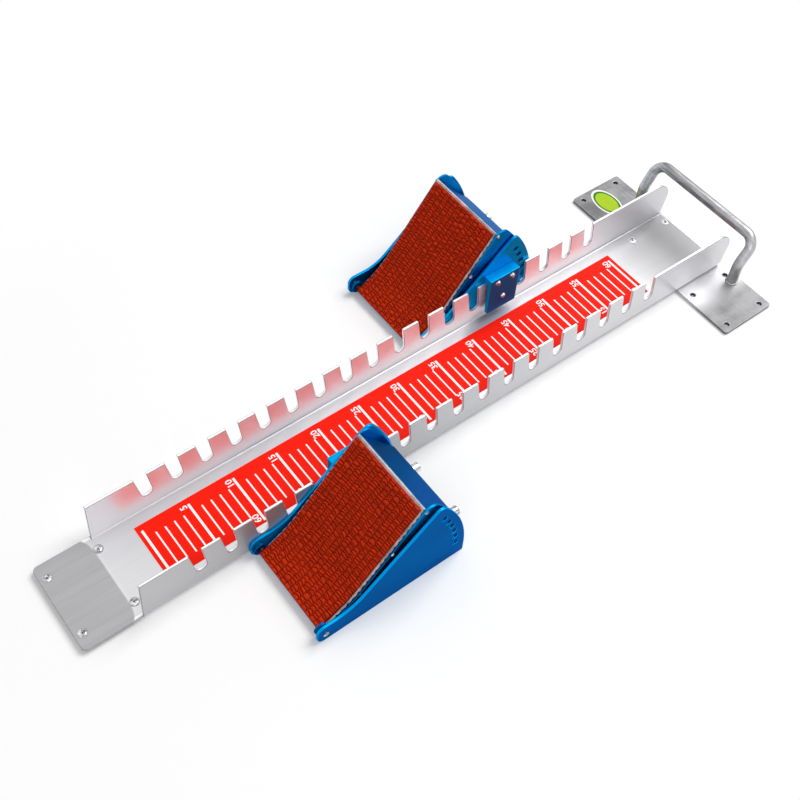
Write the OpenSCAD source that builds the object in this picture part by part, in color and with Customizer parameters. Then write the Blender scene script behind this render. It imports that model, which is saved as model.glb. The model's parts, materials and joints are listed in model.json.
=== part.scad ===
// Track starting blocks: a notched U-shaped rail with a scale, two foot pedals that hook into
// the notches and tilt about their toes, a rear cross plate and a carrying handle.
// Millimetres. X runs across the rail, Y rearwards along it, Z up from the ground.

/* [Rail] */
// outer width of the rail
rail_w = 100; // [80:1:140]
// sheet thickness of the rail
rail_t = 3; // [2:0.5:4]
// height of the rail's walls, from its underside
rail_h = 53; // [46:1:70]
// length of the flat tongue in front of the walls
tongue_l = 59.5; // [55:0.5:90]
// radius of the tongue's two front corners
tongue_r = 12; // [4:1:30]
// radius of the walls' rear top corners
wall_end_r = 23; // [10:1:28]
// wall behind the last notch's centre
rear_wall = 129; // [110:1:160]

/* [Notches] */
// number of notches in each wall
notch_count = 18; // [15:1:20]
// distance between neighbouring notches
notch_pitch = 33; // [30:0.5:38]
// width of a notch at the top of the wall
notch_w = 13.5; // [12.5:0.5:15]
// width of a notch at its round bottom
notch_low_w = 12; // [11:0.5:12.5]
// depth of a notch below the top of the wall
notch_depth = 41; // [36:1:42]
// how far the bottom of a notch lies behind its mouth
notch_lean = 4.75; // [2:0.25:7]

/* [Cross plate] */
// length of the cross plate, across the rail
cross_w = 250; // [235:1:300]
// width of the cross plate, along the rail
cross_l = 72; // [68:1:84]
// thickness of the cross plate
cross_t = 4; // [3:0.5:6]
// radius of the anchor holes
anchor_r = 2.75; // [2:0.25:3]
// distance between the anchor holes of a wing, both ways
anchor_gap = 52; // [48:1:54]

/* [Handle] */
// diameter of the handle's rod
rod_d = 12; // [10:0.5:13]
// distance between the handle's two legs
handle_w = 150; // [150:1:164]
// height of the handle's straight lower stretch
leg_rise = 20.7; // [12:0.5:40]
// angle by which the handle leans rearwards
handle_lean = 30; // [15:1:40]
// straight stretch of a leg above its bend
leg_slope = 13; // [6:1:30]

/* [Pedals] */
// notch that holds the left pedal, counted from the front
left_notch = 5; // [1:1:12]
// notch that holds the right pedal
right_notch = 13; // [1:1:14]
// tilt steps by which the left pad is raised
left_step = 0; // [0:1:5]
// tilt steps by which the right pad is raised
right_step = 1; // [0:1:5]
// clear width between the side plates of a pedal
pedal_w = 105; // [100:1:125]
// thickness of the side plates
plate_t = 3; // [2.5:0.5:4]
// distance from the toe pivot to the rear edge of the side plates
plate_r = 157.5; // [156:0.5:165]
// distance from the row of tilt holes to the rear edge of the side plates
hole_edge = 10.5; // [9.5:0.5:14]
// angle between neighbouring tilt holes
hole_step = 4.9; // [4.5:0.1:5]
// radius of the tilt holes
hole_r = 3.25; // [3:0.05:3.5]

/* [Pads] */
// thickness of the rubber
rubber_t = 4; // [3:0.5:5]
// thickness of the sheet that carries the rubber
backing_t = 2.2; // [1.6:0.1:3]
// thickness of the folded shell
shell_t = 4; // [3:0.5:4.5]
// thickness of the two cheeks
cheek_t = 2.5; // [2:0.25:3]
// slope of the pad at the toe
toe_angle = 22; // [16:1:24]
// slope of the pad's flat upper part
top_angle = 47.5; // [44:0.5:49]
// radius of the curve between toe and upper part
curve_r = 100; // [85:1:110]
// length of the pad's flat upper part
top_l = 98; // [92:1:99]
// length of the shell's rear sheet
back_l = 69; // [50:1:70]

/* [Hook] */
// width of the hook, along the rail
hook_w = 40; // [36:1:44]
// thickness of the hook plate
hook_t = 4.2; // [3:0.1:5]
// length of the hook's leg inside the rail
hook_leg = 50.7; // [44:0.5:52]

/* [Hidden] */

$fn = 48;
// clearance of turning and sliding fits, and of pieces that only pass each other
fit = 0.06;
gap = 0.4;
// overlap of cutting solids past the faces that they cut
cut = 1;

// colours
silver = [0.78, 0.79, 0.81];
steel = [0.62, 0.63, 0.65];
red = [0.86, 0.12, 0.08];
blue = [0.02, 0.26, 0.55];
navy = [0.10, 0.16, 0.36];
rubber_red = [0.50, 0.13, 0.08];
grey = [0.66, 0.62, 0.62];
green = [0.55, 0.75, 0.12];

// heights of the rail's underside, floor and top
rail_z = cross_t;
floor_z = rail_z + rail_t;
wall_z = rail_z + rail_h;
half_w = rail_w / 2;
bend_in = 1.5;
bend_out = bend_in + rail_t;

// distances along the rail, from the scale's zero line
notch_y0 = 17.25;
wall_front = -42;
wall_tilt = 3;
rail_front = wall_front - tongue_l;
rail_back = notch_y0 + (notch_count - 1) * notch_pitch + rear_wall;
floor_back = rail_back - 4.5;
cross_back = rail_back + 0.5;
cross_front = cross_back - cross_l;
cross_mid = (cross_front + cross_back) / 2;
handle_y = cross_back - 10.5;

// scale strip
label_w = 66;
label_t = 0.3;
label_front = -5;
label_bare = 102;
label_back = rail_back - label_bare;

// cross plate
cross_r = 7;
wing_mid = (half_w + cross_w / 2) / 2 + 2.9;
sticker_size = [40, 24];
sticker_out = 48;
sticker_in = 30.5;
sticker_at = [-(half_w + sticker_out), cross_front + sticker_in];

// handle
bend_r = 22;
corner_r = 15;
bead_r = 1.4;
handle_back = handle_y + bend_r * (1 - cos(handle_lean))
  + (leg_slope + corner_r) * sin(handle_lean) + rod_d / 2;
mid_y = (rail_front + handle_back) / 2;

// screws of the rail
screw_r = 2.5;
screw_head_r = 4.5;
screw_head_h = 2.2;
screw_x = half_w - 16.8;
front_rows = [rail_front + 7.8, wall_front];
rear_rows = [cross_front + 9.5, cross_back - 10];
nut_flats = 8;

// toe pivot of a pedal, and the hook's place behind it
pivot_z = 11.5;
key_back = 104;
hook_shift = 3.4;
rivet_r = 2.5;
washer_r = 4.5;

// stack of a pedal, from the rail outwards
plate_in_x = half_w + gap;
gap_in = 1.3;
gap_out = 2.7;
frame_in_x = plate_in_x + plate_t + gap_in;
plate_out_x = plate_in_x + plate_t + pedal_w;
frame_out_x = plate_out_x - gap_out;
shell_in_x = frame_in_x + cheek_t;
shell_out_x = frame_out_x - cheek_t;
shell_w = shell_out_x - shell_in_x;
mat_clear = 0.2;

// outline of a side plate
nose_y = -8.7;
nose_r = 8;
nose_z = 12;
edge_angle = 41;
edge_y = 28.8;
edge_r = 45;
plate_corner_r = 8;
plate_holes = 6;

// base plate between the side plates, and its distances from the toe pivot and the rear edge
base_front = 22;
base_rear = 8;
base_t = 3;

// lines of the pad, seen from the side with the toe pivot at the origin
toe_l = 8.5;
toe_dir = [cos(toe_angle), sin(toe_angle)];
top_dir = [cos(top_angle), sin(top_angle)];
pad_p0 = [-3.8, -1];
pad_p1 = pad_p0 + toe_l * toe_dir;
pad_c = pad_p1 + curve_r * [-sin(toe_angle), cos(toe_angle)];
pad_p2 = pad_c + curve_r * [sin(top_angle), -cos(top_angle)];
back_angle = 53.4;
carry_t = rubber_t + backing_t;
rubber_side = 1;
rubber_short = 2.7;
cheek_depth = carry_t - 0.2;
cheek_r = plate_r - 2.5;
cheek_nose_r = 7.5;
cheek_corner_r = 11;
fold_foot = shell_t * tan((top_angle + back_angle) / 2);

// lock pins, on the same arc about the toe pivot as the tilt holes
hole_row_r = plate_r - hole_edge;
pin_r = 4.5;
tube_r = 6;
tip_r = hole_r - 0.08;
pin_l = 21.5;
pin_travel = plate_t + 0.6;
pin_stop = 0.2;
stud_at = 14.3;
neck_r = 2.5;
stud_r = 4.75;
stud_reach = 23.3;
pin_in_x = shell_in_x + pin_stop + pin_travel;
pin_out_x = shell_out_x - pin_stop - pin_travel;
tip_in_l = pin_stop + cheek_t + gap_in + plate_t - 0.2;
tip_out_l = pin_stop + cheek_t + gap_out + plate_t - 0.1;

// screws in the cheeks: head, shank and places along the pad's upper part
cheek_head_r = 2.2;
cheek_head_h = 0.9;
cheek_shank_r = 1.25;
cheek_screw_s = [top_l - 2.5, 44.3, -6];

// hook
hook_gap = 3.4;
hook_x = half_w - rail_t - hook_gap;
bar_z = wall_z + gap;
shelf_t = hook_t;
bar_h = 5.1;
shelf_z = bar_z + bar_h + shelf_t;
clamp_r = 2.4;
clamp_head_r = 3.4;
clamp_head_h = 1.8;
clamp_mid = 0.75;

function arc(c, r, a0, a1, n) =
  [for (i = [0 : n]) let (a = a0 + (a1 - a0) * i / n) c + r * [cos(a), sin(a)]];
function flip(p) = [for (i = [len(p) - 1 : -1 : 0]) p[i]];
function below(d, a) = d * [sin(a), -cos(a)];

// line at depth d under the pad's surface, from s0 past the toe to s1 up the flat part
function pad_line(d, s0, s1) = concat(
  [pad_p0 + s0 * toe_dir + below(d, toe_angle)],
  arc(pad_c, curve_r + d, toe_angle - 90, top_angle - 90, 12),
  [pad_p2 + s1 * top_dir + below(d, top_angle)]
);

// centre of a corner circle of radius r between the arc of radius big and a straight edge
// that runs through p at angle a
function corner_at(p, a, r, big) =
  let (q = p + below(r, a), e = [cos(a), sin(a)])
  let (b = q * e)
  q + e * (sqrt(b * b - q * q + (big - r) * (big - r)) - b);
function dir_of(v) = atan2(v[1], v[0]);

// an outline in Y and Z, extruded along X from x0
module along_x(x0, l) {
  translate([x0, 0, 0])
    rotate([90, 0, 90])
      linear_extrude(l)
        children();
}

// a cylinder along X
module rod_x(x0, l, r) {
  translate([x0, 0, 0])
    rotate([0, 90, 0])
      cylinder(h = l, r = r);
}

module rounded_rect(w, l, r) {
  polygon(concat(
    arc([w / 2 - r, l / 2 - r], r, 0, 90, 8),
    arc([r - w / 2, l / 2 - r], r, 90, 180, 8),
    arc([r - w / 2, r - l / 2], r, 180, 270, 8),
    arc([w / 2 - r, r - l / 2], r, 270, 360, 8)
  ));
}

// the rail's parts, shifted so that the origin is under the middle of the whole object
module on_rail() {
  translate([0, -mid_y, 0])
    children();
}

function pedal_y(k) = notch_y0 + k * notch_pitch - key_back;

module left_pedal() {
  on_rail()
    translate([0, pedal_y(left_notch), pivot_z])
      children();
}

module right_pedal() {
  on_rail()
    mirror([1, 0, 0])
      translate([0, pedal_y(right_notch), pivot_z])
        children();
}

module left_pad() {
  left_pedal()
    rotate([left_step * hole_step, 0, 0])
      children();
}

module right_pad() {
  right_pedal()
    rotate([right_step * hole_step, 0, 0])
      children();
}

// the row of lock pins, in the pad's frame
module on_pins() {
  rotate([hole_step, 0, 0])
    translate([0, hole_row_r, 0])
      rotate([-hole_step, 0, 0])
        children();
}

// a countersunk screw, its top at z = 0
module flat_screw(l) {
  difference() {
    union() {
      translate([0, 0, -screw_head_h])
        cylinder(h = screw_head_h, r1 = screw_r, r2 = screw_head_r);
      translate([0, 0, -l])
        cylinder(h = l, r = screw_r);
    }
    for (a = [45, 135])
      rotate([0, 0, a])
        translate([-2.5, -0.5, -1.2])
          cube([5, 1, 1.2 + cut]);
  }
}

// the hole for such a screw through a sheet of thickness t
module flat_hole(t) {
  translate([0, 0, -t - cut])
    cylinder(h = t + 2 * cut, r = screw_r + 0.02);
  translate([0, 0, -screw_head_h])
    cylinder(h = screw_head_h, r1 = screw_r, r2 = screw_head_r);
}

module at_screws(rows, z) {
  for (x = [-screw_x, screw_x])
    for (y = rows)
      translate([x, y, z])
        children();
}

// section of the rail, in X and Z
module rail_section() {
  polygon(concat(
    [[-half_w, wall_z]],
    arc([bend_out - half_w, rail_z + bend_out], bend_out, 180, 270, 6),
    arc([half_w - bend_out, rail_z + bend_out], bend_out, 270, 360, 6),
    [[half_w, wall_z], [half_w - rail_t, wall_z]],
    arc([half_w - bend_out, rail_z + bend_out], bend_in, 360, 270, 6),
    arc([bend_out - half_w, rail_z + bend_out], bend_in, 270, 180, 6),
    [[rail_t - half_w, wall_z]]
  ));
}

// one notch, in Y and Z
module notch_outline() {
  r = notch_low_w / 2;
  z = wall_z - notch_depth + r;
  translate([notch_lean, z])
    circle(r);
  polygon([
    [-notch_w / 2, wall_z + cut],
    [-notch_w / 2, wall_z],
    [notch_lean - r, z],
    [notch_lean + r, z],
    [notch_w / 2, wall_z],
    [notch_w / 2, wall_z + cut]
  ]);
}

// a wall of the rail, in Y and Z
module wall_outline() {
  difference() {
    polygon(concat(
      [[wall_front, rail_z - cut], [wall_front, floor_z], [wall_front + wall_tilt, wall_z + cut]],
      [[rail_back - wall_end_r, wall_z + cut]],
      arc([rail_back - wall_end_r, wall_z - wall_end_r], wall_end_r, 90, 0, 12),
      [[floor_back, floor_z], [floor_back, rail_z - cut]]
    ));
    for (k = [0 : notch_count - 1])
      translate([notch_y0 + k * notch_pitch, 0])
        notch_outline();
  }
}

module rail_channel() {
  color(silver)
    difference() {
      union() {
        intersection() {
          translate([0, floor_back + wall_end_r, 0])
            rotate([90, 0, 0])
              linear_extrude(floor_back + wall_end_r - wall_front)
                rail_section();
          along_x(-half_w - cut, rail_w + 2 * cut)
            wall_outline();
        }
        translate([0, 0, rail_z])
          linear_extrude(rail_t)
            polygon(concat(
              arc([tongue_r - half_w, rail_front + tongue_r], tongue_r, 180, 270, 10),
              arc([half_w - tongue_r, rail_front + tongue_r], tongue_r, 270, 360, 10),
              [[half_w, wall_front], [half_w - bend_out, wall_front]],
              [[half_w - bend_out, wall_front + 8], [bend_out - half_w, wall_front + 8]],
              [[bend_out - half_w, wall_front], [-half_w, wall_front]]
            ));
      }
      at_screws(concat(front_rows, rear_rows), floor_z)
        flat_hole(rail_t);
    }
}

module cross_plate() {
  color(silver)
    difference() {
      translate([0, cross_mid, 0])
        linear_extrude(cross_t)
          rounded_rect(cross_w, cross_l, cross_r);
      for (x = [-wing_mid, wing_mid])
        for (dx = [-anchor_gap / 2, anchor_gap / 2])
          for (dy = [-anchor_gap / 2, anchor_gap / 2])
            translate([x + dx, cross_mid + dy, 0]) {
              translate([0, 0, -cut])
                cylinder(h = cross_t + 2 * cut, r = anchor_r);
              translate([0, 0, cross_t - 0.5])
                cylinder(h = 0.5, r1 = anchor_r, r2 = anchor_r + 0.5);
            }
      at_screws(rear_rows, 0)
        translate([0, 0, -cut])
          cylinder(h = cross_t + 2 * cut, r = screw_r + 0.02);
    }
}

// rings along one half of the handle's rod, from the foot to the crossbar's start: each has its
// centre and the two directions in which its circle lies
function handle_rings() =
  let (x = handle_w / 2, s = sin(handle_lean), c = cos(handle_lean))
  let (bend_end = [x, bend_r * (1 - c), leg_rise + bend_r * s] + leg_slope * [0, s, c])
  concat(
    [[[x, 0, 0], [1, 0, 0], [0, 1, 0]]],
    [for (i = [0 : 6]) let (a = handle_lean * i / 6)
      [[x, bend_r * (1 - cos(a)), leg_rise + bend_r * sin(a)], [1, 0, 0], [0, cos(a), -sin(a)]]],
    [for (i = [0 : 9]) let (a = i * 10)
      [bend_end + corner_r * [cos(a) - 1, s * sin(a), c * sin(a)],
        [cos(a), s * sin(a), c * sin(a)], [0, c, -s]]]
  );

// the same ring on the other side of the middle
function other_side(ring) = [
  [-ring[0][0], ring[0][1], ring[0][2]],
  [-ring[1][0], ring[1][1], ring[1][2]],
  ring[2]
];

// a tube of radius r through the rings
module swept(rings, r, sides) {
  n = len(rings);
  points = [for (g = rings) for (j = [0 : sides - 1]) let (a = j * 360 / sides)
    g[0] + r * (cos(a) * g[1] + sin(a) * g[2])];
  walls = [for (i = [0 : n - 2]) for (j = [0 : sides - 1]) for (t = [0, 1])
    let (k = (j + 1) % sides, p = i * sides, q = p + sides)
    t == 0 ? [p + j, q + j, p + k] : [p + k, q + j, q + k]];
  ends = [[for (j = [0 : sides - 1]) j], [for (j = [sides - 1 : -1 : 0]) (n - 1) * sides + j]];
  polyhedron(points, concat(walls, ends));
}

module carry_handle() {
  r = rod_d / 2;
  half = handle_rings();
  color(steel)
    translate([0, handle_y, cross_t]) {
      swept(concat(half, flip([for (g = half) other_side(g)])), r, 24);
      for (x = [-handle_w / 2, handle_w / 2])
        translate([x, 0, 0])
          rotate_extrude()
            polygon([[r - 1, 0], [r + bead_r, 0], [r + bead_r * 0.6, bead_r * 0.8],
              [r - 0.4, bead_r * 1.6], [r - 1, bead_r * 1.6]]);
    }
}

module scale_label() {
  color(red)
    translate([-label_w / 2, label_front, floor_z])
      cube([label_w, label_back - label_front, label_t]);
}

module plate_sticker() {
  color(green)
    translate([sticker_at[0], sticker_at[1], cross_t])
      linear_extrude(label_t)
        polygon([for (a = [0 : 7.5 : 352.5])
          [sticker_size[0] / 2 * cos(a), sticker_size[1] / 2 * sin(a)]]);
}

module front_screws() {
  color(steel)
    at_screws(front_rows, floor_z)
      flat_screw(floor_z - 0.3);
}

module front_nuts() {
  color(steel)
    at_screws(front_rows, 0)
      difference() {
        cylinder(h = rail_z, r = nut_flats / 2 / cos(30), $fn = 6);
        translate([0, 0, -cut])
          cylinder(h = rail_z + 2 * cut, r = screw_r + 0.02);
      }
}

module rear_screws() {
  color(steel)
    at_screws(rear_rows, floor_z)
      flat_screw(floor_z - 0.5);
}

// outline of both side plates, with the toe pivot at the origin
module plate_outline() {
  k = corner_at([edge_y, nose_z], edge_angle, plate_corner_r, plate_r);
  m = [edge_y - edge_r * tan(edge_angle / 2), nose_z + edge_r];
  difference() {
    polygon(concat(
      arc([nose_y + nose_r, nose_r - pivot_z], nose_r, 180, 270, 8),
      [[plate_r, -pivot_z]],
      arc([0, 0], plate_r, 0, dir_of(k), 20),
      arc(k, plate_corner_r, dir_of(k), edge_angle + 90, 8),
      arc(m, edge_r, edge_angle - 90, -90, 10),
      arc([nose_y + nose_r, nose_z - nose_r], nose_r, 90, 180, 8)
    ));
    circle(rivet_r);
    for (i = [1 : plate_holes])
      rotate(i * hole_step)
        translate([hole_row_r, 0])
          circle(hole_r);
  }
}

module outer_plate() {
  color(blue)
    along_x(plate_out_x, plate_t)
      plate_outline();
}

// places of the three clamp screws, in Y and Z from the toe pivot
clamp_at = [
  [key_back + hook_shift - 9.75, bar_z + bar_h / 2 - pivot_z],
  [key_back + hook_shift + 9.75, bar_z + bar_h / 2 - pivot_z],
  [key_back + notch_lean * clamp_mid, wall_z - notch_depth * clamp_mid + 8 - pivot_z]
];

module at_clamps(x) {
  for (p = clamp_at)
    translate([x, p[0], p[1]])
      children();
}

module inner_plate() {
  color(blue)
    difference() {
      along_x(plate_in_x, plate_t)
        plate_outline();
      at_clamps(plate_in_x - cut)
        rod_x(0, plate_t + 2 * cut, clamp_r);
    }
}

module base_plate() {
  color(blue)
    translate([plate_in_x + plate_t, base_front, -pivot_z])
      cube([pedal_w, plate_r - base_rear - base_front, base_t]);
}

module hook_plate() {
  z = shelf_z - pivot_z;
  y = key_back + hook_shift - hook_w / 2;
  c = 1.5;
  color(navy)
    difference() {
      union() {
        along_x(hook_x - hook_t, hook_t)
          polygon([[y, z], [y, z - hook_leg + c], [y + c, z - hook_leg],
            [y + hook_w - c, z - hook_leg], [y + hook_w, z - hook_leg + c], [y + hook_w, z]]);
        translate([hook_x - 0.01, y, z - shelf_t])
          cube([plate_in_x - hook_x + 0.01, hook_w, shelf_t]);
      }
      at_clamps(hook_x - hook_t - cut)
        rod_x(0, hook_t + 2 * cut, clamp_r);
    }
}

// block between hook plate and inner side plate: a bar over the wall and a key in the notch
module hook_block() {
  y = key_back + hook_shift - hook_w / 2;
  r = notch_low_w / 2 - gap;
  z = wall_z - notch_depth + notch_low_w / 2 - pivot_z;
  lean = notch_lean / (notch_depth - notch_low_w / 2);
  top = bar_z + 1 - pivot_z;
  color(navy)
    difference() {
      along_x(hook_x, plate_in_x - hook_x)
        union() {
          translate([y, bar_z - pivot_z])
            square([hook_w, bar_h]);
          translate([key_back + notch_lean, z])
            circle(r);
          polygon([
            [key_back + notch_lean - r, z],
            [key_back + notch_lean + r, z],
            [key_back + notch_lean + r - lean * (top - z), top],
            [key_back + notch_lean - r - lean * (top - z), top]
          ]);
        }
      at_clamps(hook_x - cut)
        rod_x(0, plate_in_x - hook_x + 2 * cut, clamp_r);
    }
}

module clamp_screws() {
  l = plate_in_x + plate_t - hook_x + hook_t - 0.2;
  color(steel)
    at_clamps(hook_x - hook_t)
      difference() {
        union() {
          rod_x(0, l, clamp_r);
          rotate([0, 90, 0])
            translate([0, 0, -clamp_head_h])
              cylinder(h = clamp_head_h, r1 = clamp_head_r * 0.7, r2 = clamp_head_r);
        }
        rotate([90, 0, 90])
          translate([0, 0, -clamp_head_h - cut])
            cylinder(h = cut + 1.4, r = 1.6, $fn = 6);
      }
}

// the two rivets on which the pad turns, each with a washer that keeps the cheek in place
module toe_rivets() {
  color(steel) {
    difference() {
      union() {
        rod_x(shell_out_x + 0.1, plate_out_x + plate_t - shell_out_x, rivet_r);
        rod_x(frame_out_x + 0.1, gap_out - 0.1, washer_r);
        rod_x(plate_out_x + plate_t, 0.8, rivet_r + 0.6);
      }
      rod_x(plate_out_x + plate_t - 1, 1.8 + cut, 1.2);
    }
    rod_x(plate_in_x, shell_in_x - plate_in_x - 0.1, rivet_r);
    rod_x(plate_in_x + plate_t, gap_in - 0.1, washer_r);
  }
}

module pad_shell() {
  far = top_l - fold_foot;
  i = pad_p2 + far * top_dir + below(carry_t + shell_t, top_angle);
  n = [sin(back_angle), cos(back_angle)];
  e = i + shell_t * n + (back_l - fold_foot) * [cos(back_angle), -sin(back_angle)];
  color(blue)
    difference() {
      along_x(shell_in_x, shell_w)
        polygon(concat(
          pad_line(carry_t, 0, far),
          arc(i, shell_t, top_angle + 90, 90 - back_angle, 8),
          [e, e - shell_t * n],
          flip(pad_line(carry_t + shell_t, 0, far))
        ));
      cheek_shanks(cut);
    }
}

// one of the cheeks' screws, as a place on both sides of the shell
function screw_place(s) = s >= 0
  ? pad_p2 + s * top_dir + below(carry_t + shell_t / 2, top_angle)
  : pad_c + (curve_r + carry_t + shell_t / 2)
    * [sin(top_angle + s / 1.8), -cos(top_angle + s / 1.8)];

module cheek_shanks(extra) {
  for (s = cheek_screw_s)
    translate([0, screw_place(s)[0], screw_place(s)[1]]) {
      rod_x(frame_in_x - extra, cheek_t + 5 + extra, cheek_shank_r);
      rod_x(shell_out_x - 5, cheek_t + 5 + extra, cheek_shank_r);
    }
}

module cheek_outline() {
  p = pad_p2 + below(cheek_depth, top_angle);
  k = corner_at(p, top_angle, cheek_corner_r, cheek_r);
  difference() {
    polygon(concat(
      arc([0, 0], cheek_nose_r, 60, 270, 14),
      arc([0, 0], cheek_r, 0, dir_of(k), 20),
      arc(k, cheek_corner_r, dir_of(k), top_angle + 90, 6),
      flip(pad_line(cheek_depth, toe_l - 0.5, 1))
    ));
    circle(rivet_r + fit);
    rotate(hole_step)
      translate([hole_row_r, 0])
        circle(hole_r);
  }
}

module cheek_outer() {
  color(blue)
    difference() {
      along_x(shell_out_x, cheek_t)
        cheek_outline();
      cheek_shanks(cut);
    }
}

module cheek_inner() {
  color(blue)
    difference() {
      along_x(frame_in_x, cheek_t)
        cheek_outline();
      cheek_shanks(cut);
    }
}

// a sheet of the pad between two depths, drawn in from the sides and the top end
module pad_sheet(d0, d1, side = 0, short = 0) {
  inset = mat_clear + side;
  along_x(shell_in_x + inset, shell_w - 2 * inset)
    polygon(concat(pad_line(d0, 0, top_l - short), flip(pad_line(d1, 0, top_l - short))));
}

module backing_sheet() {
  color(grey)
    pad_sheet(rubber_t, carry_t);
}

module rubber_pad() {
  color(rubber_red)
    pad_sheet(0, rubber_t, rubber_side, rubber_short);
}

module frame_screws() {
  color(steel) {
    cheek_shanks(0);
    for (s = cheek_screw_s)
      translate([0, screw_place(s)[0], screw_place(s)[1]]) {
        translate([frame_in_x - cheek_head_h, 0, 0])
          rotate([0, 90, 0])
            cylinder(h = cheek_head_h, r1 = cheek_head_r * 0.6, r2 = cheek_head_r);
        translate([frame_out_x, 0, 0])
          rotate([0, 90, 0])
            cylinder(h = cheek_head_h, r1 = cheek_head_r, r2 = cheek_head_r * 0.6);
      }
  }
}

// slot in the tube's rear side for a stud's neck, from x0 to x1
module neck_slot(x0, x1) {
  r = neck_r + 0.2;
  translate([x0 - r, 0, -r])
    cube([x1 - x0 + 2 * r, tube_r + cut, 2 * r]);
}

module pin_tube() {
  color(steel)
    on_pins()
      difference() {
        rod_x(shell_in_x, shell_w, tube_r);
        rod_x(shell_in_x - cut, shell_w + 2 * cut, pin_r + 0.05);
        neck_slot(pin_in_x + stud_at - pin_travel, pin_in_x + stud_at);
        neck_slot(pin_out_x - stud_at, pin_out_x - stud_at + pin_travel);
      }
}

module stud_hole(x) {
  translate([x, 1.5, 0])
    rotate([-90, 0, 0])
      cylinder(h = 2 * pin_r, r = neck_r + 0.02);
}

module pin_outer() {
  color(silver)
    on_pins()
      difference() {
        union() {
          rod_x(pin_out_x - pin_l, pin_l, pin_r);
          rod_x(pin_out_x, tip_out_l, tip_r);
        }
        stud_hole(pin_out_x - stud_at);
      }
}

module pin_inner() {
  color(silver)
    on_pins()
      difference() {
        union() {
          rod_x(pin_in_x, pin_l, pin_r);
          rod_x(pin_in_x - tip_in_l, tip_in_l, tip_r);
        }
        stud_hole(pin_in_x + stud_at);
      }
}

// a finger stud, turned in one piece with its neck and collar
module stud(x) {
  color(silver)
    on_pins()
      translate([x, 0, 0])
        rotate([-90, 0, 0])
          rotate_extrude()
            polygon([[0, 1.5], [neck_r, 1.5], [neck_r, 7.2], [stud_r - 0.6, 7.2],
              [stud_r - 0.6, 8.8], [neck_r + 0.6, 8.8], [neck_r + 0.6, 10.2],
              [stud_r - 0.4, 10.2], [stud_r, 10.7], [stud_r, stud_reach - 0.6],
              [stud_r - 0.6, stud_reach], [0, stud_reach]]);
}

module stud_outer() {
  stud(pin_out_x - stud_at);
}

module stud_inner() {
  stud(pin_in_x + stud_at);
}

// helical spring between the two pins
module lock_spring() {
  w = 0.6;
  rc = pin_r - w - 0.2;
  x0 = pin_in_x + pin_l + w;
  x1 = pin_out_x - pin_l - w;
  turns = 9;
  per_turn = 10;
  rings = [for (i = [0 : turns * per_turn]) let (a = i * 360 / per_turn)
    [[x0 + (x1 - x0) * i / turns / per_turn, rc * cos(a), rc * sin(a)],
      [1, 0, 0], [0, cos(a), sin(a)]]];
  color(steel)
    on_pins()
      swept(rings, w, 6);
}

on_rail() rail_channel();
on_rail() cross_plate();
on_rail() carry_handle();
on_rail() scale_label();
on_rail() plate_sticker();
on_rail() front_screws();
on_rail() front_nuts();
on_rail() rear_screws();
left_pedal() outer_plate();  // left_outer_plate
left_pedal() inner_plate();  // left_inner_plate
left_pedal() base_plate();  // left_base_plate
left_pedal() hook_plate();  // left_hook_plate
left_pedal() hook_block();  // left_hook_block
left_pedal() clamp_screws();  // left_clamp_screws
left_pedal() toe_rivets();  // left_toe_rivets
left_pad() pad_shell();  // left_pad_shell
left_pad() cheek_outer();  // left_cheek_outer
left_pad() cheek_inner();  // left_cheek_inner
left_pad() backing_sheet();  // left_backing_sheet
left_pad() rubber_pad();  // left_rubber_pad
left_pad() frame_screws();  // left_frame_screws
left_pad() pin_tube();  // left_pin_tube
left_pad() lock_spring();  // left_lock_spring
left_pad() pin_outer();  // left_pin_outer
left_pad() pin_inner();  // left_pin_inner
left_pad() stud_outer();  // left_stud_outer
left_pad() stud_inner();  // left_stud_inner
right_pedal() outer_plate();  // right_outer_plate
right_pedal() inner_plate();  // right_inner_plate
right_pedal() base_plate();  // right_base_plate
right_pedal() hook_plate();  // right_hook_plate
right_pedal() hook_block();  // right_hook_block
right_pedal() clamp_screws();  // right_clamp_screws
right_pedal() toe_rivets();  // right_toe_rivets
right_pad() pad_shell();  // right_pad_shell
right_pad() cheek_outer();  // right_cheek_outer
right_pad() cheek_inner();  // right_cheek_inner
right_pad() backing_sheet();  // right_backing_sheet
right_pad() rubber_pad();  // right_rubber_pad
right_pad() frame_screws();  // right_frame_screws
right_pad() pin_tube();  // right_pin_tube
right_pad() lock_spring();  // right_lock_spring
right_pad() pin_outer();  // right_pin_outer
right_pad() pin_inner();  // right_pin_inner
right_pad() stud_outer();  // right_stud_outer
right_pad() stud_inner();  // right_stud_inner
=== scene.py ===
import bmesh
import bpy
import json
import random
from math import cos, pi, radians, sin
from mathutils import Matrix, Vector, noise


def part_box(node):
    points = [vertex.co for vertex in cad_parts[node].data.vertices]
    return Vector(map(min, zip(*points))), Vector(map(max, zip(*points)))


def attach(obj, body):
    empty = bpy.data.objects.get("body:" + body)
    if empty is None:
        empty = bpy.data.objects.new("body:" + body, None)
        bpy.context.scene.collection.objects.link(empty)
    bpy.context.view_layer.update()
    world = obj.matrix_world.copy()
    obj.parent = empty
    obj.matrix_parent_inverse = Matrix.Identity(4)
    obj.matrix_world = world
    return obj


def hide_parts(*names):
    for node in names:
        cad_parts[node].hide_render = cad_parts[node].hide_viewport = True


bl_info = {
    "name": "Track Starting Blocks",
    "version": (1, 0, 0),
    "blender": (4, 5, 0),
    "location": "3D View > Sidebar > Starting Blocks",
    "description": "Dresses the frame of a pair of track starting blocks and lights it",
    "category": "Add Mesh",
}

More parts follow.
